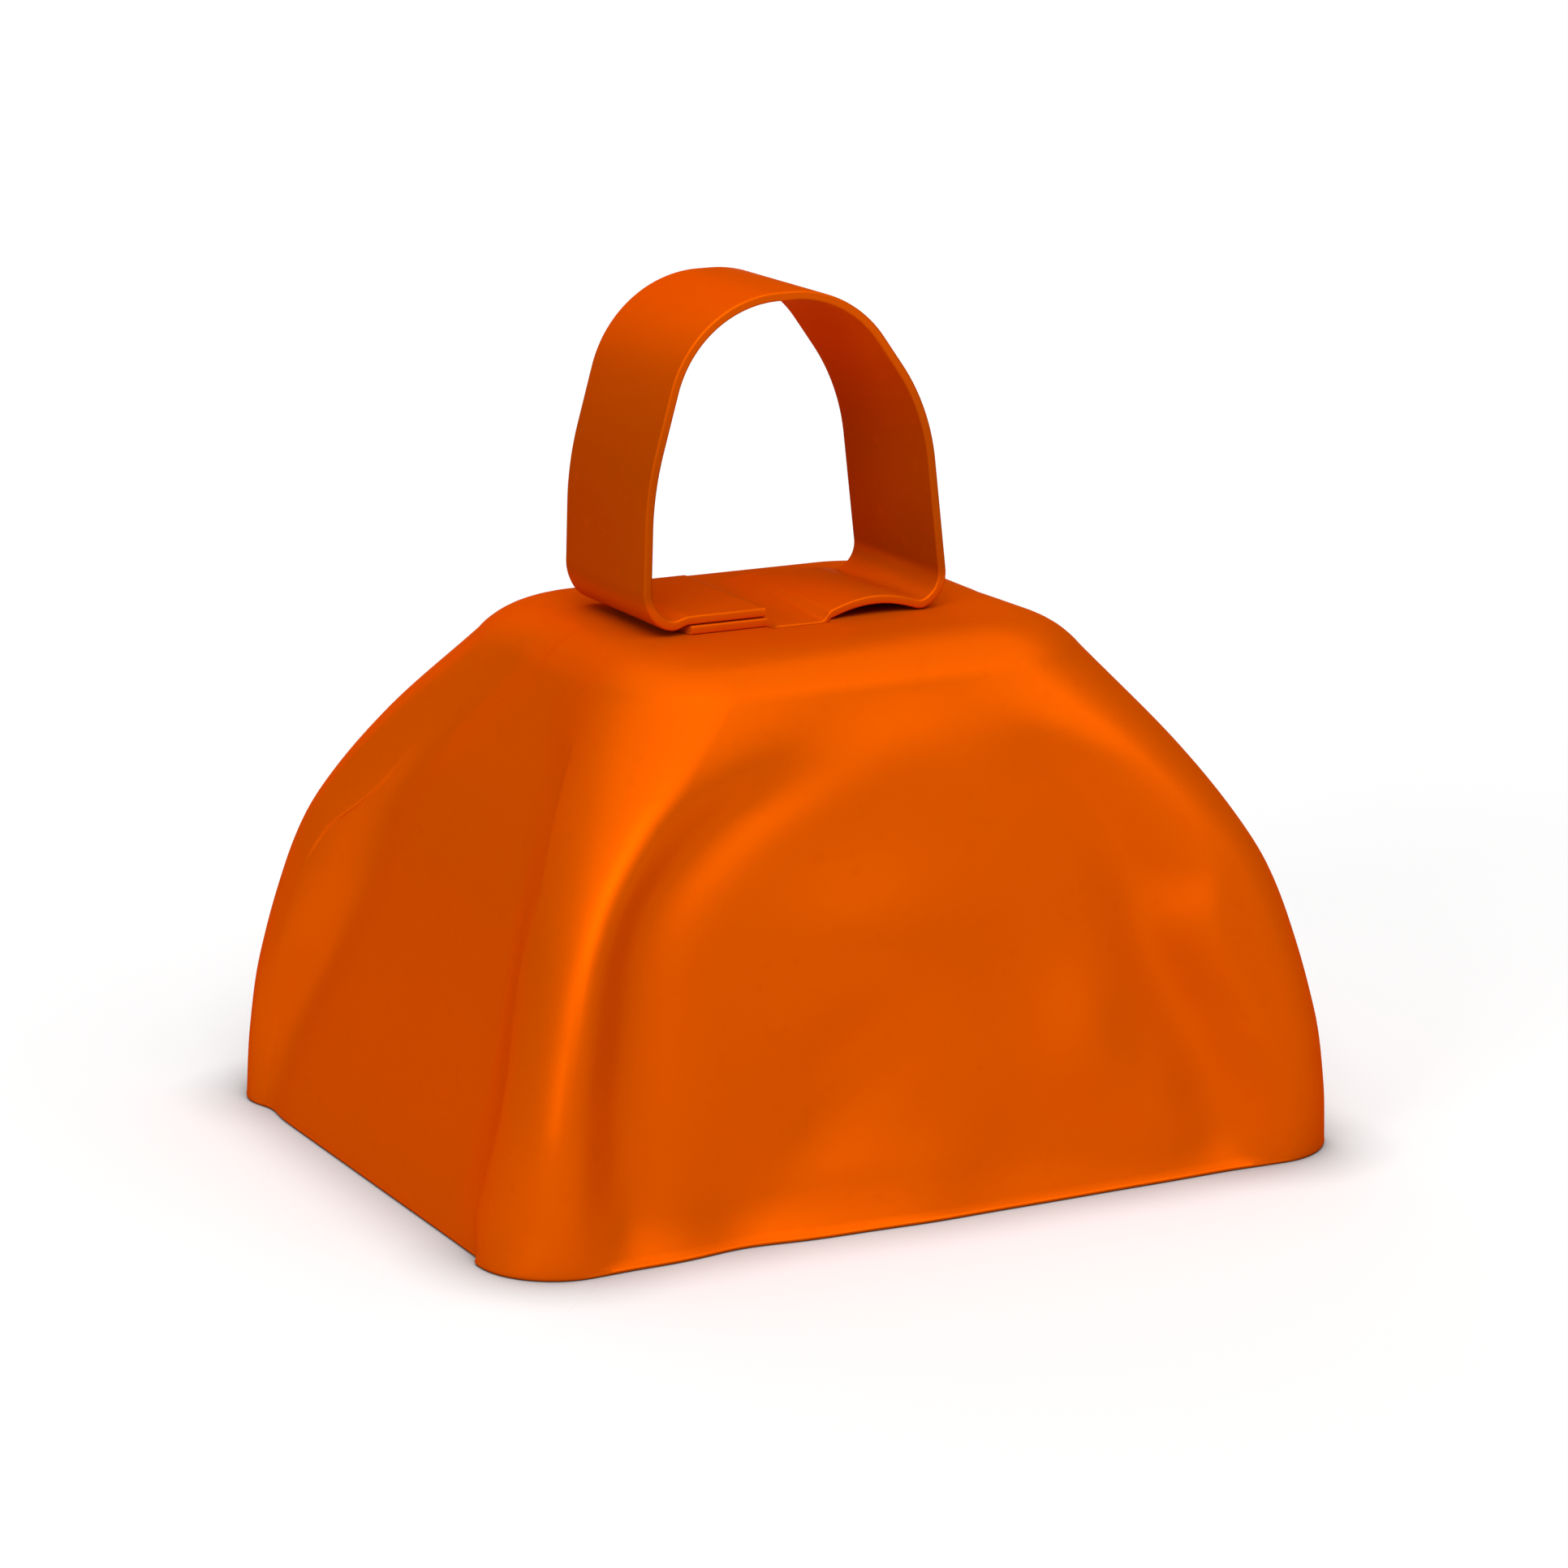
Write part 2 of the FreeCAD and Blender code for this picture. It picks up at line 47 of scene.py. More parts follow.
stapleLow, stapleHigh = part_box("clapper_staple")
linkLow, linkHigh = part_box("clapper_link")
rodLow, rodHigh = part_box("clapper_rod")
ballLow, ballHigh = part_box("clapper_ball")


# small helpers
def smoothThrough(points, x):
    # height at x of a smooth curve through the points
    if x <= points[0][0]:
        return points[0][1]
    if x >= points[-1][0]:
        return points[-1][1]
    index = max(i for i in range(len(points) - 1) if points[i][0] <= x)
    (x0, y0), (x1, y1) = points[index], points[index + 1]
    before = points[max(index - 1, 0)]
    after = points[min(index + 2, len(points) - 1)]
    span = x1 - x0
    slope0 = (y1 - before[1]) / (x1 - before[0]) * span
    slope1 = (after[1] - y0) / (after[0] - x0) * span
    t = (x - x0) / span
    start = (2 * t ** 3 - 3 * t ** 2 + 1) * y0 + (t ** 3 - 2 * t ** 2 + t) * slope0
    return start + (3 * t ** 2 - 2 * t ** 3) * y1 + (t ** 3 - t ** 2) * slope1


def ease(t):
    t = min(max(t, 0.0), 1.0)
    return t * t * (3 - 2 * t)


def hump(offset, halfWidth):
    return math.exp(-(offset / halfWidth) ** 2)


# materials
enamel = {
    "colour": (0.54, 0.070, 0.0),
    "deepColour": (0.48, 0.060, 0.0),
    "wornColour": (0.66, 0.090, 0.0),
    "shadedLegColour": (0.34, 0.048, 0.0),  # painted shade: the strap's upright legs, which get less light, are painted darker
    "shadedLegHeights": (49.4, 51.0, 60.0, 74.0),  # heights of the painted leg shade: starts, full, fading, gone
    "cloudScale": 34.0,
    "roughness": 0.43,
    "sheen": 0.38,
    "sheenTint": (1.0, 0.2, 0.0, 1),
    "peelDepth": 0.008,
    "peelScale": 1400.0,
    "waveDepth": 0.03,
    "waveScale": 170.0,
    "pitScale": 620.0,
    "pitDepth": 0.006,
}
platedWire = {"colour": (0.60, 0.60, 0.58), "roughness": 0.30, "grain": 900.0}
tumbledSteel = {"colour": (0.46, 0.46, 0.45), "roughness": 0.40, "grain": 420.0}


def newMaterial(name):
    material = bpy.data.materials.new(name)
    material.use_nodes = True
    tree = material.node_tree
    place = tree.nodes.new("ShaderNodeTexCoord").outputs["Object"]
    return material, tree, tree.nodes["Principled BSDF"], place


def noiseOf(tree, place, scale, detail):
    noise = tree.nodes.new("ShaderNodeTexNoise")
    noise.inputs["Scale"].default_value = scale
    noise.inputs["Detail"].default_value = detail
    tree.links.new(place, noise.inputs["Vector"])
    return noise.outputs["Fac"]


def rangeOf(tree, value, low, high, toLow, toHigh):
    span = tree.nodes.new("ShaderNodeMapRange")
    span.interpolation_type = "SMOOTHSTEP"
    for name, number in zip(("From Min", "From Max", "To Min", "To Max"), (low, high, toLow, toHigh)):
        span.inputs[name].default_value = number
    tree.links.new(value, span.inputs["Value"])
    return span.outputs["Result"]


def blendOf(tree, share, first, second):
    # first is a socket or a colour, second is a colour
    blend = tree.nodes.new("ShaderNodeMix")
    blend.data_type = "RGBA"
    colours = [socket for socket in blend.inputs if socket.type == "RGBA"]
    if isinstance(first, tuple):
        colours[0].default_value = (*first, 1)
    else:
        tree.links.new(first, colours[0])
    colours[1].default_value = (*second, 1)
    tree.links.new(share, blend.inputs[0])
    return [socket for socket in blend.outputs if socket.type == "RGBA"][0]


def bumpOf(tree, height, depth, under=None):
    bump = tree.nodes.new("ShaderNodeBump")
    bump.inputs["Strength"].default_value = 1.0
    bump.inputs["Distance"].default_value = depth * mm
    tree.links.new(height, bump.inputs["Height"])
    if under is not None:
        tree.links.new(under, bump.inputs["Normal"])
    return bump.outputs["Normal"]


def makeEnamel():
    material, tree, shader, place = newMaterial("orangeEnamel")
    cloud = noiseOf(tree, place, enamel["cloudScale"], 4.0)
    speck = noiseOf(tree, place, enamel["pitScale"], 3.0)
    apart = tree.nodes.new("ShaderNodeSeparateXYZ")
    tree.links.new(place, apart.inputs["Vector"])
    # painted shade: by height, the strap's legs take the darker colour and its top keeps the plain one
    start, full, fading, end = (height * mm for height in enamel["shadedLegHeights"])
    intoLegShade = rangeOf(tree, apart.outputs["Z"], start, full, 0.0, 1.0)
    pastLegShade = rangeOf(tree, apart.outputs["Z"], fading, end, 0.0, 1.0)
    colour = blendOf(tree, intoLegShade, enamel["colour"], enamel["shadedLegColour"])
    colour = blendOf(tree, pastLegShade, colour, enamel["colour"])
    colour = blendOf(tree, rangeOf(tree, cloud, 0.42, 0.68, 0.0, 0.3), colour, enamel["deepColour"])
    colour = blendOf(tree, rangeOf(tree, speck, 0.55, 0.8, 0.0, 0.3), colour, enamel["deepColour"])
    edge = tree.nodes.new("ShaderNodeNewGeometry").outputs["Pointiness"]
    colour = blendOf(tree, rangeOf(tree, edge, 0.53, 0.62, 0.0, 0.7), colour, enamel["wornColour"])
    tree.links.new(colour, shader.inputs["Base Color"])
    rough = rangeOf(tree, cloud, 0.35, 0.7, enamel["roughness"] - 0.05, enamel["roughness"] + 0.06)
    tree.links.new(rough, shader.inputs["Roughness"])
    shader.inputs["Metallic"].default_value = enamel["sheen"]
    shader.inputs["Specular IOR Level"].default_value = 0.0
    shader.inputs["Specular Tint"].default_value = enamel["sheenTint"]
    waves = bumpOf(tree, noiseOf(tree, place, enamel["waveScale"], 2.0), enamel["waveDepth"])
    pits = bumpOf(tree, rangeOf(tree, speck, 0.62, 0.75, 1.0, 0.0), enamel["pitDepth"], waves)
    peel = bumpOf(tree, noiseOf(tree, place, enamel["peelScale"], 2.0), enamel["peelDepth"], pits)
    tree.links.new(peel, shader.inputs["Normal"])
    return material


def makeMetal(name, settings):
    material, tree, shader, place = newMaterial(name)
    stain = noiseOf(tree, place, settings["grain"], 5.0)
    darker = tuple(channel * 0.7 for channel in settings["colour"])
    tint = blendOf(tree, rangeOf(tree, stain, 0.35, 0.65, 0.0, 1.0), settings["colour"], darker)
    tree.links.new(tint, shader.inputs["Base Color"])
    shader.inputs["Metallic"].default_value = 1.0
    rough = settings["roughness"]
    tree.links.new(rangeOf(tree, stain, 0.3, 0.7, rough - 0.06, rough + 0.12), shader.inputs["Roughness"])
    tree.links.new(bumpOf(tree, stain, 0.02), shader.inputs["Normal"])
    return material


orangeEnamel = makeEnamel()
zincWire = makeMetal("zincWire", platedWire)
ballSteel = makeMetal("ballSteel", tumbledSteel)
print("stage: materials made")


def finishPiece(name, build, material, body, replaced, sharpAngle):
    # closes a bmesh into a piece that rides on its body
    bmesh.ops.remove_doubles(build, verts=build.verts, dist=0.0005 * mm)
    bmesh.ops.recalc_face_normals(build, faces=build.faces)
    mesh = bpy.data.meshes.new(name)
    build.to_mesh(mesh)
    build.free()
    mesh.shade_smooth()
    mesh.set_sharp_from_angle(angle=math.radians(sharpAngle))
    mesh.materials.clear()
    mesh.materials.append(material)
    piece = bpy.data.objects.new(name, mesh)
    bpy.context.scene.collection.objects.link(piece)
    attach(piece, body)
    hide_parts(*replaced)
    print("piece:", name, len(mesh.polygons), "faces")
    return piece


# the weld presses the strap into the bell's top until its front edge lies flush;
# to the right of it the strap arches clear of the top, less at the rear edge than at the front
weldPress = {"left": -4.9, "right": 0.9, "front": -8.15, "rear": 1.0, "edge": 0.8, "depth": 0.80}
arch = {"left": 1.1, "right": 10.3, "front": 0.95, "rear": 0.40, "rearLeft": -2.0}


def pressedBy(x, y):
    edge = weldPress["edge"]
    across = ease((x - weldPress["left"]) / edge) * ease((weldPress["right"] - x) / edge + 0.5)
    along = ease((y - weldPress["front"]) / edge + 1) * ease((weldPress["rear"] - y) / 5.0)
    return weldPress["depth"] * across * along


def archedBy(x, y):
    t = min(max((x - arch["left"]) / (arch["right"] - arch["left"]), 0.0), 1.0)
    bowed = (4 * t * (1 - t)) ** 1.1 * arch["front"]
    lifted = ease((x - arch["rearLeft"]) / 3.0) * ease((arch["right"] - x) / 2.5) * arch["rear"]
    share = ease((y + 8.0) / 16.0)
    return bowed * (1 - share) + lifted * share


# the bell
bell = {
    "sheet": 0.74,
    # half sizes over the corner ridges, and how far the corners round along each panel, by height
    "halfLength": [(0, 40.68), (6, 39.7), (13, 38.25), (19, 36.7), (26, 34.5), (31, 32.0), (36, 28.9),
                   (44.15, 23.15)],
    "halfDepth": [(0, 32.4), (6, 32.55), (13, 32.3), (26, 29.9), (36, 25.6), (44.15, 20.1)],
    "corner": [(0, 7.2), (6, 5.8), (13, 4.8), (26, 4.6), (36, 6.4), (44.15, 9.0)],
    "shoulderRound": 7.4,
    "shoulderTurn": 54.0,
    "rimRound": 0.3,
    # how far the panels lie behind their corner ridges, by height
    "endRecess": [(0, 0.55), (4, 1.6), (8, 2.3), (16, 2.9), (26, 3.1), (36, 1.9), (44.15, 0.4)],
    "sideRecess": [(0, 0.2), (2, 1.2), (4, 1.9), (8, 2.7), (13, 3.2), (20, 3.6), (26, 3.5), (31, 3.0),
                   (36, 2.0), (40, 0.9), (44.15, 0.1)],
    "rows": 84,
    "shoulderRows": 14,
    "capRows": 22,
    "sideCells": 76,
    "endCells": 44,
    "cornerCells": 14,
}
# the slope from a corner ridge into a panel: its middle from the corner and its half width, by height,
# and how deep a groove runs along its foot
slopes = {
    "tight": {
        "middle": [(0, 8.0), (7, 7.0), (13, 6.2), (21, 5.6), (26, 5.2), (30, 5.3), (34, 6.6), (38, 9.0),
                   (44, 12.0)],
        "half": [(0, 3.6), (13, 3.9), (26, 3.9), (34, 5.6), (44, 10.0)],
        "groove": 0.6,
    },
    "wide": {
        "middle": [(0, 9.4), (8, 9.6), (14, 10.6), (18, 11.4), (22, 11.6), (27, 10.2), (35, 10.4),
                   (44, 12.0)],
        "half": [(0, 4.2), (14, 3.4), (22, 3.2), (30, 4.4), (44, 5.5)],
        "groove": 0.50,
    },
    "lapped": {
        "middle": [(0, 12.5), (7, 12.0), (13, 11.5), (21, 12.4), (27, 12.6), (34, 12.6), (44, 12.5)],
        "half": [(0, 4.8), (13, 4.2), (27, 4.2), (34, 4.8), (44, 5.0)],
        "groove": 0.0,
    },
    "winged": {
        "middle": [(0, 6.6), (7.5, 6.8), (12, 8.2), (17, 9.8), (22.6, 10.6), (29.5, 9.2), (36, 10.0),
                   (44, 11.0)],
        "half": [(0, 2.6), (12, 3.2), (22, 3.8), (30, 3.8), (44, 5.0)],
        "groove": 0.30,
    },
}
# the edge of each broad panel laps over the end panel: how far it reaches round the corner,
# how proud its cut edge stands and how far it gapes, by height, and how much the corner is drawn out
laps = {
    "deep": {
        "reach": [(0, 7.2), (5, 7.2), (13, 7.0), (21, 8.2), (27, 8.2), (34, 7.6), (40, 8.2)],
        "step": [(0, 0.74), (35, 0.74), (40, 0.0)],
        "gap": [(0, 0.02), (5, 0.25), (12, 0.12), (22, 0.10), (29, 0.2), (34, 0.4), (38, 0.10), (40, 0.0)],
        "slope": "lapped",
        "stretch": 1.4,
    },
    "flush": {
        "reach": [(0, 7.2), (20, 7.2), (25.7, 7.9), (30, 10.1), (40, 12.0)],
        "step": [(0, 0.012), (22, 0.012), (25.5, 0.20), (29.5, 0.20), (32.5, 0.012), (40, 0.0)],
        "gap": [(0, 0.0), (40, 0.0)],
        "slope": "winged",
        "stretch": 1.0,
    },
}
cornerLaps = {(-1, -1): "deep", (-1, 1): "flush", (1, -1): "flush", (1, 1): "deep"}
lapTuck = 1.1  # how far the hollow reaches under the cut edge
seamGap = 0.24  # from the cut edge to the first point of the end panel
seamRoom = 0.9  # least distance from the corner's end to the cut edge

# soft dents: panel, across, height, half width, half height, tilt, depth (below zero for a bulge)
dents = [
    ("front", -9.0, 12.0, 9.0, 5.5, 40.0, 1.8),
    ("front", -4.0, 23.0, 9.0, 6.0, 0.0, -0.9),
    ("front", -19.0, 2.0, 4.5, 6.0, 0.0, 0.9),
    ("front", 0.0, 4.0, 6.0, 4.0, 40.0, -0.5),
    ("front", 15.0, 13.0, 4.0, 6.5, 10.0, -1.2),
    ("front", 22.0, 7.0, 4.5, 4.5, 30.0, -0.9),
    ("front", 8.0, 1.5, 9.0, 3.0, 0.0, -0.3),
    ("back", 6.0, 16.0, 8.0, 6.0, -20.0, 0.30),
    ("back", -14.0, 9.0, 5.0, 4.0, 0.0, 0.22),
    ("back", -2.0, 27.0, 9.0, 4.0, 10.0, 0.16),
    ("left", 4.0, 18.0, 6.0, 8.0, 10.0, 0.12),
    ("right", -5.0, 15.0, 6.0, 7.0, -15.0, 0.22),
]


def dentDepth(panel, across, height):
    total = 0.0
    for name, middle, level, wide, tall, tilt, depth in dents:
        if name == panel:
            turn = math.radians(tilt)
            u = (across - middle) * math.cos(turn) + (height - level) * math.sin(turn)
            v = (height - level) * math.cos(turn) - (across - middle) * math.sin(turn)
            total += depth * hump(u, wide) * hump(v, tall)
    return total


def slopeShare(fromCorner, height, name):
    slope = slopes[name]
    half = smoothThrough(slope["half"], height)
    middle = smoothThrough(slope["middle"], height)
    share = ease((fromCorner - middle + half) / (2 * half))
    return share, slope["groove"] * hump(fromCorner - middle - half * 1.1, half * 0.8)


def bellRows():
    # height, half length, half depth, corner radius and how far up the shoulder, from the rim to the top
    rows = []
    start = bell["halfLength"][-1][0]
    for i in range(bell["rows"] + 1):
        z = start * i / bell["rows"]
        sizes = [smoothThrough(bell[name], z) for name in ("halfLength", "halfDepth", "corner")]
        rows.append((z, *sizes, 0.0))
    turn = math.radians(bell["shoulderTurn"])
    r = bell["shoulderRound"]
    _, a, b, corner, _ = rows[-1]
    for i in range(1, bell["shoulderRows"] + 1):
        share = i / bell["shoulderRows"]
        angle = turn * (1 - share)
        inward = r * (math.sin(turn) - math.sin(angle))
        z = start + (topHeight - start) * (math.cos(angle) - math.cos(turn)) / (1 - math.cos(turn))
        rows.append((z, a - inward, b - inward, corner - inward * 0.55, share))
    return rows


def evenlyEased(count, low, high):
    # crowded towards both ends, where the panels curve most
    for i in range(count + 1):
        t = 0.5 - 0.5 * math.cos(math.pi * i / count)
        yield low + (high - low) * (0.5 * t + 0.5 * i / count)


def sideSunk(side, along, row):
    # how far a broad panel lies behind its ridges at this place
    z, a, b, corner, share = row
    level = min(z, bell["halfLength"][-1][0])
    fade = 1 - ease(share)
    depth = smoothThrough(bell["sideRecess"], level) * (1 - 0.8 * ease(share))
    near, nearGroove = slopeShare(a + along * -side, level, "tight")
    far, farGroove = slopeShare(a - along * -side, level, "wide")
    dent = dentDepth("front" if side < 0 else "back", along, z)
    return near * far * (depth + dent * fade) + (nearGroove + farGroove) * fade * min(depth / 2.2, 1)


def endSunk(sideX, y, row, behind):
    # how far an end lies behind its ridges, past the lapped edge or on it
    z, a, b, corner, share = row
    level = min(z, bell["halfLength"][-1][0])
    lap = laps[cornerLaps[sideX, -1 if y < 0 else 1]]
    under = smoothThrough(lap["step"], z) + smoothThrough(lap["gap"], z)
    depth = max(smoothThrough(bell["endRecess"], level), 0.8 * ease((8 - z) / 8)) * (1 - 0.8 * ease(share))
    near, groove = slopeShare(b - abs(y), level, lap["slope"])
    dent = dentDepth("right" if sideX > 0 else "left", y, z)
    sunk = near * (max(depth - under, 0.0) + dent) + groove * (1 - ease(share))
    return sunk + under if behind else sunk


def sidePanel(side, row, inner):
    # one broad panel from its left to its right as seen from outside
    z, a, b, corner, share = row
    reach = a - corner
    return [(-side * along, side * (b - sideSunk(side, -side * along, row) - inner))
            for along in evenlyEased(bell["sideCells"], -reach, reach)]


def cornerArc(sideX, sideY, row, inner, goingOut):
    z, a, b, corner, share = row
    points = []
    cells = bell["cornerCells"]
    wide = corner - inner
    deep = cornerDepth(sideX, sideY, row) - inner
    for i in range(1, cells):
        angle = math.pi / 2 * (i / cells if goingOut else 1 - i / cells)
        x = a - inner - wide * (1 - math.sin(angle))
        y = b - inner - deep * (1 - math.cos(angle))
        inX = endSunk(sideX, sideY * min(y, b), row, False)
        inY = sideSunk(sideY, sideX * min(x, a), row)
        points.append((sideX * (x - inX), sideY * (y - inY)))
    return points


def cornerDepth(sideX, sideY, row):
    # a lapped corner is drawn out round the end, but not at the rim or the shoulder
    z, a, b, corner, share = row
    stretch = laps[cornerLaps[sideX, sideY]]["stretch"] - 1
    return corner * (1 + stretch * (1 - ease(share)) * ease((46 - z) / 12) * ease(z / 5))


def seamPlace(sideX, sideY, row):
    z, a, b, corner, share = row
    lap = laps[cornerLaps[sideX, sideY]]
    return b - max(smoothThrough(lap["reach"], z), cornerDepth(sideX, sideY, row) + seamRoom)


def lapPoints(sideX, sideY, row, inner):
    # the lapped edge, from the corner's end towards the middle of the end panel
    z, a, b, corner, share = row
    lap = laps[cornerLaps[sideX, sideY]]
    step = smoothThrough(lap["step"], z)
    gap = smoothThrough(lap["gap"], z)
    seam = seamPlace(sideX, sideY, row)
    start = b - cornerDepth(sideX, sideY, row) - 0.05
    if inner:
        places = (start, seam + 0.7, seam + 0.5, seam + 0.35, seam + 0.2, seam, seam - 0.06, seam - 0.12)
        depths = [(step + gap) * t for t in (0.0, 0.25, 0.5, 0.75, 0.9, 1.0, 1.0, 1.0)]
    else:
        tucked = ease(gap / 0.08)
        under = lapTuck * tucked
        flat = 1 - tucked
        places = (start, seam + 0.32, seam + 0.18, seam + 0.07, seam, seam + 0.04 * tucked - 0.06 * flat,
                  seam + under - 0.12 * flat, seam + under - 0.18 * flat)
        depths = (0, 0, step * 0.04, step * 0.2, step * 0.62, step, step + 0.002, step + gap + 0.004)
    return [(sideX * (a - inner - endSunk(sideX, sideY * y, row, False) - deep), sideY * y)
            for y, deep in zip(places, depths)]


def endPanel(sideX, fromY, row, inner):
    z, a, b, corner, share = row
    points = []
    low = seamGap - seamPlace(sideX, -fromY, row)
    high = seamPlace(sideX, fromY, row) - seamGap
    for along in evenlyEased(bell["endCells"], high, low):
        y = along * fromY
        points.append((sideX * (a - endSunk(sideX, y, row, True) - inner), y))
    return points


def bellOutline(row, inner):
    points = []
    for side in (-1, 1):
        points += sidePanel(side, row, inner)
        endX = -side
        points += cornerArc(endX, side, row, inner, True)
        points += lapPoints(endX, side, row, inner)
        points += endPanel(endX, side, row, inner)
        points += lapPoints(endX, -side, row, inner)[::-1]
        points += cornerArc(endX, -side, row, inner, False)
    return points


def bellRings(inner):
    rings = []
    for row in bellRows():
        z = row[0] - inner * ease(row[4])
        rings.append([(x, y, z) for x, y in bellOutline(row, inner)])
    edge = rings[-1]
    press = -weldPress["front"] / max(y for x, y, z in edge)
    shares = [1 - i / bell["capRows"] for i in range(1, bell["capRows"])]
    shares += [press + 0.055 * (i / 3 - 1) for i in range(9)]  # finer where the weld's edge falls
    for share in sorted(shares, reverse=True):
        rings.append([(x * share, y * share, z) for x, y, z in edge])
    return [[(x, y, z - pressedBy(x, y) * ease((z - 40.0) / 6.0)) for x, y, z in ring] for ring in rings]


def foldRim(outer, inner):
    # the rounded edge of the sheet along the rim
    r = bell["rimRound"]
    folded = []
    for degrees in (0, 30, 60, 90):
        turn = math.radians(degrees)
        share = r * (1 - math.sin(turn)) / bell["sheet"]
        ring = [(x + (u - x) * share, y + (v - y) * share, r * (1 - math.cos(turn)))
                for (x, y, z), (u, v, w) in zip(outer[0], inner[0])]
        folded.append(ring)
    return folded + [ring for ring in outer if ring[0][2] > r * 1.4]


def makeBell():
    inner = bellRings(bell["sheet"])
    outer = foldRim(bellRings(0.0), inner)
    build = bmesh.new()
    layers = [[[build.verts.new((x * mm, y * mm, z * mm)) for x, y, z in ring] for ring in rings]
              for rings in (outer, inner)]
    count = len(outer[0])
    for turned, layer in enumerate(layers):
        for low, high in zip(layer, layer[1:]):
            for i in range(count):
                j = (i + 1) % count
                corners = (low[i], low[j], high[j], high[i])
                build.faces.new(corners[::-1] if turned else corners)
        build.faces.new(layer[-1][::-1] if turned else layer[-1])
    for i in range(count):
        j = (i + 1) % count
        build.faces.new((layers[0][0][j], layers[0][0][i], layers[1][0][i], layers[1][0][j]))
    return finishPiece("bellSheet", build, orangeEnamel, "bell", ["bell_body"], 50)


bellSheet = makeBell()
print("stage: bell made")

# strap and wires: one Geometry Nodes tree bends a bar of stock along a path of corners
strap = {
    "width": (stripHigh[1] - stripLow[1]) / mm,
    "thickness": 0.8,
    "edgeRound": 0.22,
    "seat": 0.42,  # middle of the lower layer over the bell's top
    "layer": 0.9,  # from one layer to the other
    "loopLeft": 16.35,
    "loopRight": 12.6,
    "kneeLeft": (15.95, 15.8),
    "kneeRight": (10.7, 10.8),
    "crownLeft": 11.4,
    "crownRight": 3.1,
    "flapEnd": 4.8,
    "tailEnd": 12.5,
    "footDrop": 0.42,  # the left foot sits lower than the layer that it leads to
    "endRound": 0.01,
    "pressRise": 1.0,  # the weld and the arch move only what is lower than this over the top
    "bends": (2.7, 18.0, 10.4, 10.4, 28.0, 2.7),
    "step": 0.3,
}
wires = {
    "diameter": 1.6,
    "endRound": 0.35,
    "step": 0.22,
    "stapleLeg": 4.5,
    "stapleBend": 1.6,
    "neckBend": 2.0,
    "eyeOpening": 38.0,
    "eyeSteps": 40,
    "neckSteps": 12,
}


def makeStockTree():
    tree = bpy.data.node_groups.new("bentStock", "GeometryNodeTree")
    face = tree.interface
    face.new_socket("Path", in_out="INPUT", socket_type="NodeSocketGeometry")
    for name in ("Width", "Thickness", "Edge Round", "Step", "End Round"):
        face.new_socket(name, in_out="INPUT", socket_type="NodeSocketFloat")
    face.new_socket("Finish", in_out="INPUT", socket_type="NodeSocketMaterial")
    face.new_socket("Stock", in_out="OUTPUT", socket_type="NodeSocketGeometry")
    nodes, links = tree.nodes, tree.links
    entry = nodes.new("NodeGroupInput")
    leave = nodes.new("NodeGroupOutput")

    bend = nodes.new("GeometryNodeInputNamedAttribute")
    bend.data_type = "FLOAT"
    bend.inputs["Name"].default_value = "bend"
    path = nodes.new("GeometryNodeMeshToCurve")
    links.new(entry.outputs["Path"], path.inputs["Mesh"])
    fillet = nodes.new("GeometryNodeFilletCurve")
    fillet.mode = "POLY"
    fillet.inputs["Count"].default_value = 40
    fillet.inputs["Limit Radius"].default_value = True
    links.new(path.outputs["Curve"], fillet.inputs["Curve"])
    links.new(bend.outputs["Attribute"], fillet.inputs["Radius"])
    evenly = nodes.new("GeometryNodeResampleCurve")
    evenly.mode = "LENGTH"
    links.new(fillet.outputs["Curve"], evenly.inputs["Curve"])
    links.new(entry.outputs["Step"], evenly.inputs["Length"])

    # the section: a rectangle with rounded edges, or a circle when the rounding is half the width
    section = nodes.new("GeometryNodeCurvePrimitiveQuadrilateral")
    links.new(entry.outputs["Width"], section.inputs["Width"])
    links.new(entry.outputs["Thickness"], section.inputs["Height"])
    rounded = nodes.new("GeometryNodeFilletCurve")
    rounded.mode = "POLY"
    rounded.inputs["Count"].default_value = 5
    rounded.inputs["Limit Radius"].default_value = True
    links.new(section.outputs["Curve"], rounded.inputs["Curve"])
    links.new(entry.outputs["Edge Round"], rounded.inputs["Radius"])

    # cut ends are a little thinner
    place = nodes.new("GeometryNodeSplineParameter")
    total = nodes.new("GeometryNodeSplineLength")
    rest = nodes.new("ShaderNodeMath")
    rest.operation = "SUBTRACT"
    links.new(total.outputs["Length"], rest.inputs[0])
    links.new(place.outputs["Length"], rest.inputs[1])
    nearest = nodes.new("ShaderNodeMath")
    nearest.operation = "MINIMUM"
    links.new(place.outputs["Length"], nearest.inputs[0])
    links.new(rest.outputs["Value"], nearest.inputs[1])
    taper = nodes.new("ShaderNodeMapRange")
    taper.interpolation_type = "SMOOTHERSTEP"
    taper.inputs["To Min"].default_value = 0.82
    taper.inputs["To Max"].default_value = 1.0
    links.new(nearest.outputs["Value"], taper.inputs["Value"])
    links.new(entry.outputs["End Round"], taper.inputs["From Max"])

    solid = nodes.new("GeometryNodeCurveToMesh")
    solid.inputs["Fill Caps"].default_value = True
    links.new(evenly.outputs["Curve"], solid.inputs["Curve"])
    links.new(rounded.outputs["Curve"], solid.inputs["Profile Curve"])
    links.new(taper.outputs["Result"], solid.inputs["Scale"])
    real = nodes.new("GeometryNodeRealizeInstances")
    finish = nodes.new("GeometryNodeSetMaterial")
    links.new(solid.outputs["Mesh"], real.inputs["Geometry"])
    links.new(real.outputs["Geometry"], finish.inputs["Geometry"])
    links.new(entry.outputs["Finish"], finish.inputs["Material"])
    links.new(finish.outputs["Geometry"], leave.inputs["Stock"])
    return tree


stockTree = makeStockTree()


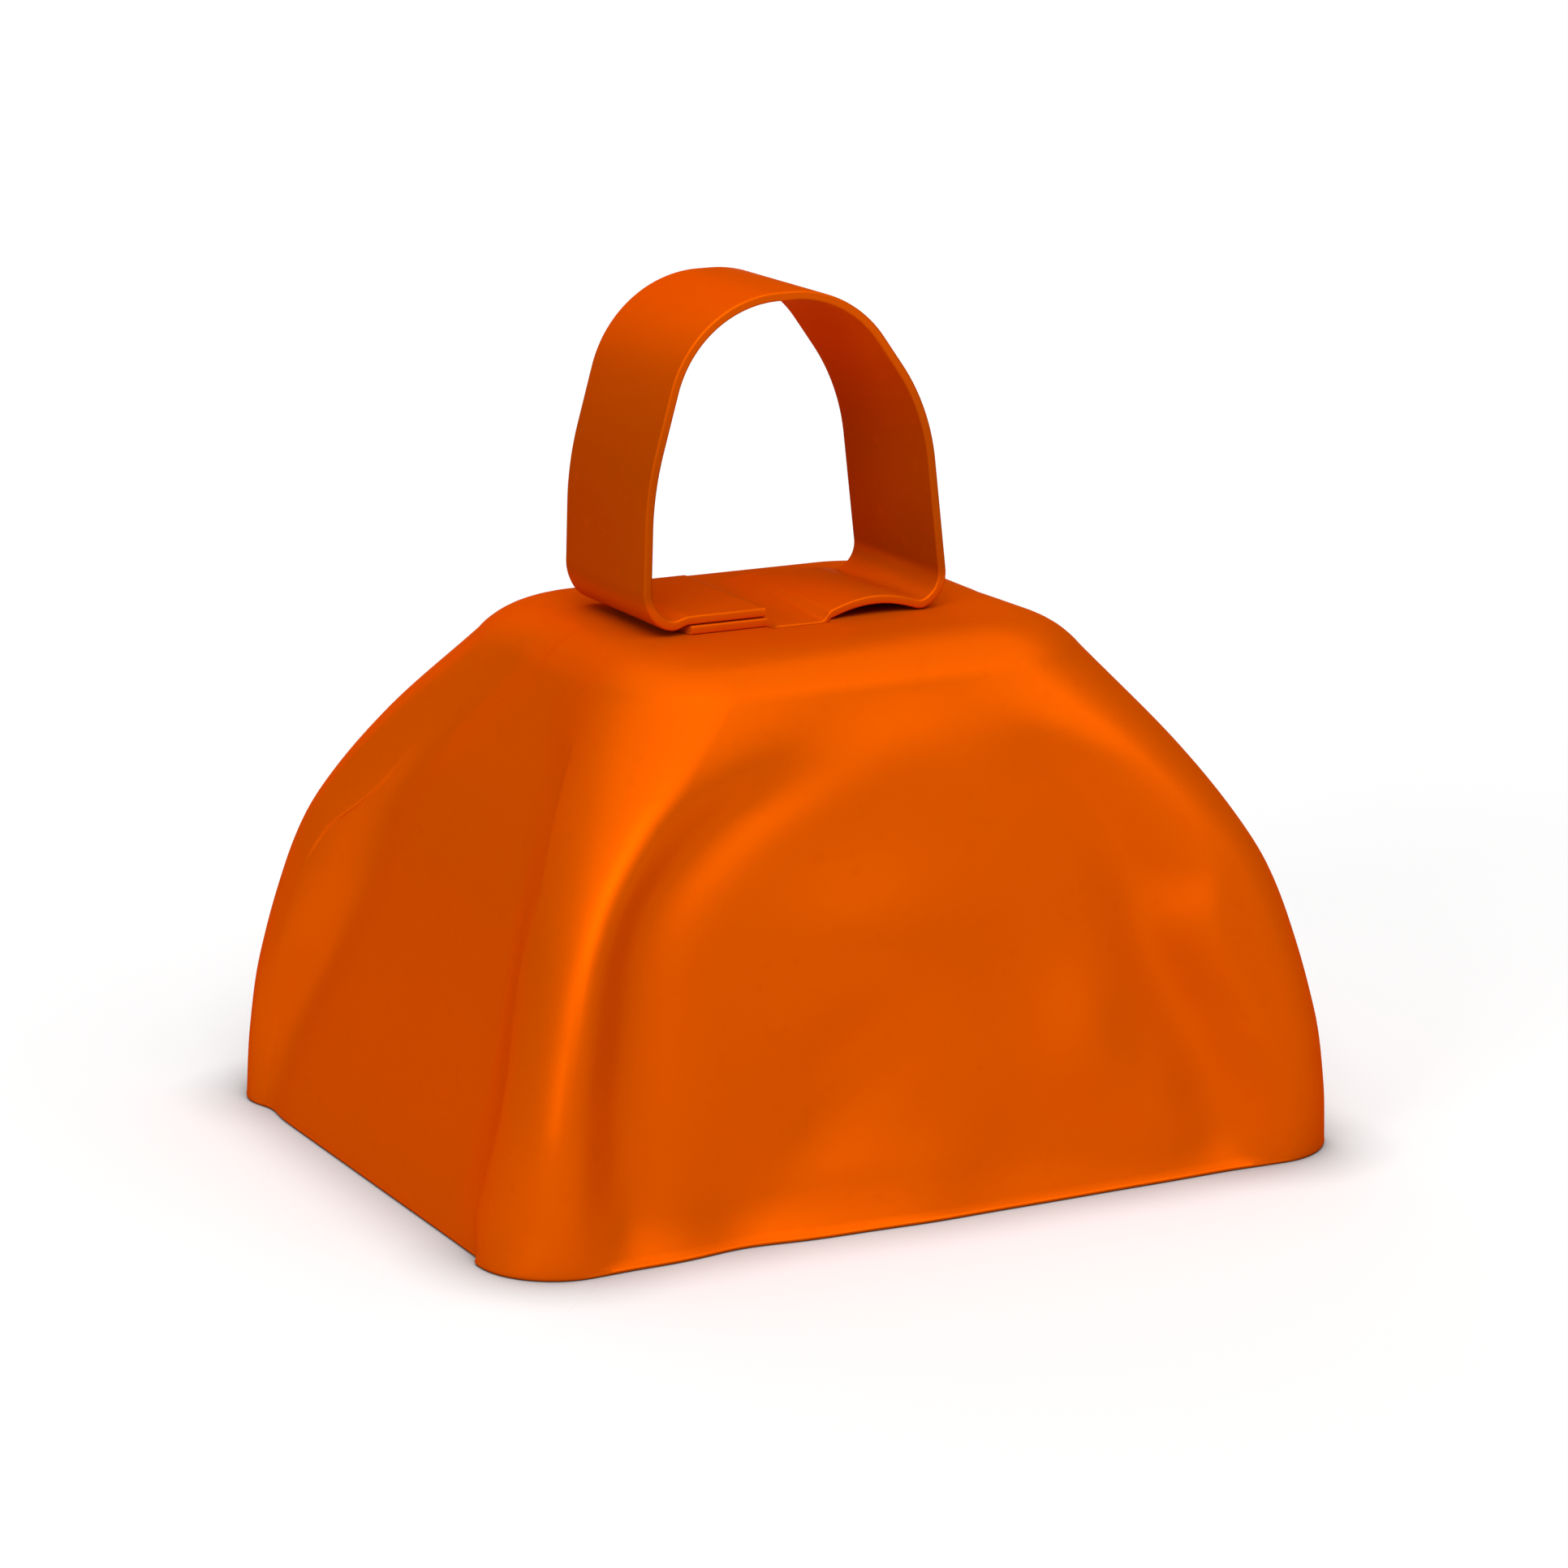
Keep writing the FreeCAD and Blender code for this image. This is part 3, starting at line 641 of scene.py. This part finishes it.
def bendStock(name, corners, closed, sizes, material):
    # corners hold x, y, z and the bend radius there; returns a bmesh of the bent bar
    mesh = bpy.data.meshes.new(name + "Path")
    edges = [(i, i + 1) for i in range(len(corners) - 1)]
    if closed:
        edges.append((len(corners) - 1, 0))
    mesh.from_pydata([(x * mm, y * mm, z * mm) for x, y, z, _ in corners], edges, [])
    bend = mesh.attributes.new("bend", "FLOAT", "POINT")
    for i, corner in enumerate(corners):
        bend.data[i].value = corner[3] * mm
    holder = bpy.data.objects.new(name + "Path", mesh)
    bpy.context.scene.collection.objects.link(holder)
    modifier = holder.modifiers.new("stock", "NODES")
    modifier.node_group = stockTree
    items = stockTree.interface.items_tree
    sockets = {item.name: item.identifier for item in items if item.in_out == "INPUT"}
    for label, size in sizes.items():
        modifier[sockets[label]] = size * mm
    modifier[sockets["Finish"]] = material
    evaluated = holder.evaluated_get(bpy.context.evaluated_depsgraph_get())
    result = bpy.data.meshes.new_from_object(evaluated)
    build = bmesh.new()
    build.from_mesh(result)
    bpy.data.objects.remove(holder)
    bpy.data.meshes.remove(mesh)
    bpy.data.meshes.remove(result)
    return build


def makeStrap():
    lower = topHeight + strap["seat"]
    upper = lower + strap["layer"]
    crown = stripHigh[2] / mm - strap["thickness"] / 2
    spots = [
        (-strap["tailEnd"], lower),
        (strap["loopRight"], lower),
        (strap["kneeRight"][0], crown - strap["kneeRight"][1]),
        (strap["crownRight"], crown),
        (-strap["crownLeft"], crown),
        (-strap["kneeLeft"][0], crown - strap["kneeLeft"][1]),
        (-strap["loopLeft"], upper),
        (-strap["flapEnd"], upper),
    ]
    bends = (0.0, *strap["bends"], 0.0)
    corners = [(x, 0.0, z, bend) for (x, z), bend in zip(spots, bends)]
    sizes = {"Width": strap["width"], "Thickness": strap["thickness"], "Edge Round": strap["edgeRound"],
             "Step": strap["step"], "End Round": strap["endRound"]}
    build = bendStock("strapHandle", corners, False, sizes, orangeEnamel)
    for vert in build.verts:
        x, y, z = (part / mm for part in vert.co)
        low = 1 - ease((z - topHeight - strap["pressRise"]) / 2.5)
        dropped = strap["footDrop"] * ease((-strap["tailEnd"] + 0.2 - x) / 1.6)
        vert.co.z += (archedBy(x, y) - pressedBy(x, y) - dropped) * low * mm
    return finishPiece("strapHandle", build, orangeEnamel, "bell", ["handle_strap"], 40)


def makeWire(name, corners, closed, body, node):
    thick = wires["diameter"]
    sizes = {"Width": thick, "Thickness": thick, "Edge Round": thick / 2,
             "Step": wires["step"], "End Round": wires["endRound"]}
    build = bendStock(name, corners, closed, sizes, zincWire)
    return finishPiece(name, build, zincWire, body, [node], 45)


def makeWires():
    half = wires["diameter"] / 2
    footEnd = stapleHigh[0] / mm
    seat = stapleHigh[2] / mm - half
    bar = stapleLow[2] / mm + half
    leg = wires["stapleLeg"]
    bend = wires["stapleBend"]
    staple = [(-footEnd, 0, seat, 0), (-leg, 0, seat, bend), (-leg, 0, bar, bend),
              (leg, 0, bar, bend), (leg, 0, seat, bend), (footEnd, 0, seat, 0)]
    makeWire("clapperStaple", staple, False, "bell", "clapper_staple")
    side = linkHigh[1] / mm - half
    high = linkHigh[2] / mm - half
    low = linkLow[2] / mm + half
    ring = [(0, y, z, side) for y, z in ((-side, low), (-side, high), (side, high), (side, low))]
    makeWire("clapperLink", ring, True, "link", "clapper_link")
    # the eye round the link's lower bar, its neck, and the straight rod down into the ball
    eyeRound = rodHigh[0] / mm - half
    eyeHeight = rodHigh[2] / mm - half - eyeRound
    neckBend = wires["neckBend"]
    neckHeight = eyeHeight - math.sqrt((eyeRound + neckBend) ** 2 - neckBend ** 2)
    openAngle = math.radians(wires["eyeOpening"] - 90)
    meeting = math.atan2(neckHeight - eyeHeight, -neckBend) + 2 * math.pi
    rod = []
    for i in range(wires["eyeSteps"] + 1):
        angle = openAngle + (meeting - openAngle) * i / wires["eyeSteps"]
        rod.append((eyeRound * math.cos(angle), 0, eyeHeight + eyeRound * math.sin(angle), 0))
    start = meeting + math.pi
    turn = start % (2 * math.pi)
    for i in range(1, wires["neckSteps"] + 1):
        angle = turn * (1 - i / wires["neckSteps"])
        rod.append((-neckBend + neckBend * math.cos(angle), 0, neckHeight + neckBend * math.sin(angle), 0))
    rod.append((0, 0, rodLow[2] / mm, 0))
    makeWire("clapperRod", rod, False, "clapper", "clapper_rod")


makeStrap()
makeWires()
print("stage: strap and wires bent")

# the ball: turned profile with a mould line round its middle and a rolled mouth for the rod
ball = {"mouldLine": 0.05, "mouldHalf": 0.22, "bore": 0.82, "mouthRound": 0.35, "boreDepth": 7.0,
        "rings": 56, "sectors": 72}


def makeBall():
    radius = (ballHigh[2] - ballLow[2]) / 2 / mm
    middle = (ballHigh[2] + ballLow[2]) / 2 / mm
    lip = ball["mouthRound"]
    mouth = ball["bore"] + lip
    profile = []
    topAngle = math.asin(mouth / radius)
    for i in range(ball["rings"] + 1):
        angle = math.pi - (math.pi - topAngle) * i / ball["rings"]
        height = radius * math.cos(angle)
        ridge = ball["mouldLine"] * hump(height, ball["mouldHalf"])
        out = (radius - ball["mouldLine"] + ridge) * math.sin(angle)
        profile.append((out, middle + height))
    lipHeight = profile[-1][1]
    for i in range(1, 6):
        angle = math.pi / 2 * i / 5
        profile.append((mouth - lip * math.sin(angle), lipHeight - lip * (1 - math.cos(angle))))
    profile.append((ball["bore"], middle + radius - ball["boreDepth"]))
    profile.append((0.0, middle + radius - ball["boreDepth"] - 0.02))
    build = bmesh.new()
    rings = []
    for out, z in profile:
        ring = []
        for i in range(ball["sectors"]):
            angle = 2 * math.pi * i / ball["sectors"]
            ring.append(build.verts.new((out * math.cos(angle) * mm, out * math.sin(angle) * mm, z * mm)))
        rings.append(ring)
    for low, high in zip(rings, rings[1:]):
        for i in range(ball["sectors"]):
            j = (i + 1) % ball["sectors"]
            build.faces.new((low[i], low[j], high[j], high[i]))
    return finishPiece("clapperBall", build, ballSteel, "clapper", ["clapper_ball"], 40)


makeBall()
print("stage: ball made")

# stage, lights and camera
floor = {
    "size": 8.0,
    "colour": (0.62, 0.62, 0.62, 1),
    "shadowReach": 8.0,  # how far the soft contact shadow spreads
}
lights = {
    "world": 0.12,
    # name: direction it comes from (azimuth, elevation), strength, how wide the soft source is
    "key": (-24.0, 44.0, 2.0, 40.0),
    "side": (-63.0, 20.0, 0.9, 24.0),
    "overhead": (0.0, 86.0, 2.6, 90.0),
    "right": (28.0, 40.0, 0.5, 40.0),
    "behind": (178.0, 25.0, 0.5, 50.0),
}
view = {
    "azimuth": -27.06,
    "elevation": 13.88,
    "roll": -0.15,
    "distance": 0.4773,
    "lens": 123.54,
    "target": (0.00074, 0.0, 0.03087),
}


def makeFloor():
    mesh = bpy.data.meshes.new("paleFloor")
    size = floor["size"]
    edge = [(-size, -size, 0), (size, -size, 0), (size, size, 0), (-size, size, 0)]
    mesh.from_pydata(edge, [], [(0, 1, 2, 3)])
    sheet = bpy.data.objects.new("paleFloor", mesh)
    bpy.context.scene.collection.objects.link(sheet)
    material, tree, shader, place = newMaterial("palePaper")
    shadow = tree.nodes.new("ShaderNodeAmbientOcclusion")
    shadow.inputs["Color"].default_value = floor["colour"]
    shadow.inputs["Distance"].default_value = floor["shadowReach"] * mm
    tree.links.new(shadow.outputs["Color"], shader.inputs["Base Color"])
    shader.inputs["Roughness"].default_value = 0.95
    shader.inputs["Specular IOR Level"].default_value = 0.05
    mesh.materials.append(material)


def facing(azimuth, elevation):
    # unit vector towards a place at this azimuth (0 in front, negative to the left) and elevation
    a = math.radians(azimuth)
    e = math.radians(elevation)
    return Vector((math.sin(a) * math.cos(e), -math.cos(a) * math.cos(e), math.sin(e)))


def makeSoftLight(name, azimuth, elevation, strength, spread):
    lamp = bpy.data.lights.new(name, "SUN")
    lamp.energy = strength
    lamp.angle = math.radians(spread)
    thing = bpy.data.objects.new(name, lamp)
    bpy.context.scene.collection.objects.link(thing)
    thing.matrix_world = facing(azimuth, elevation).to_track_quat("Z", "Y").to_matrix().to_4x4()


def makeLights():
    world = bpy.data.worlds.new("studio")
    world.use_nodes = True
    world.node_tree.nodes["Background"].inputs["Color"].default_value = (1, 1, 1, 1)
    world.node_tree.nodes["Background"].inputs["Strength"].default_value = lights["world"]
    bpy.context.scene.world = world
    for name, settings in lights.items():
        if name != "world":
            makeSoftLight(name, *settings)


def makeCamera():
    lens = bpy.data.cameras.new("camera")
    lens.lens = view["lens"]
    lens.sensor_width = 36.0
    camera = bpy.data.objects.new("camera", lens)
    bpy.context.scene.collection.objects.link(camera)
    back = facing(view["azimuth"], view["elevation"])
    level = Vector((-back.y, back.x, 0)).normalized()
    upright = back.cross(level)
    roll = math.radians(view["roll"])
    right = level * math.cos(roll) + upright * math.sin(roll)
    up = upright * math.cos(roll) - level * math.sin(roll)
    turn = Matrix((right, up, back)).transposed().to_4x4()
    camera.matrix_world = Matrix.Translation(Vector(view["target"]) + back * view["distance"]) @ turn
    bpy.context.scene.camera = camera


makeFloor()
makeLights()
makeCamera()
bpy.context.scene.view_settings.view_transform = "Standard"
print("stage: studio ready")
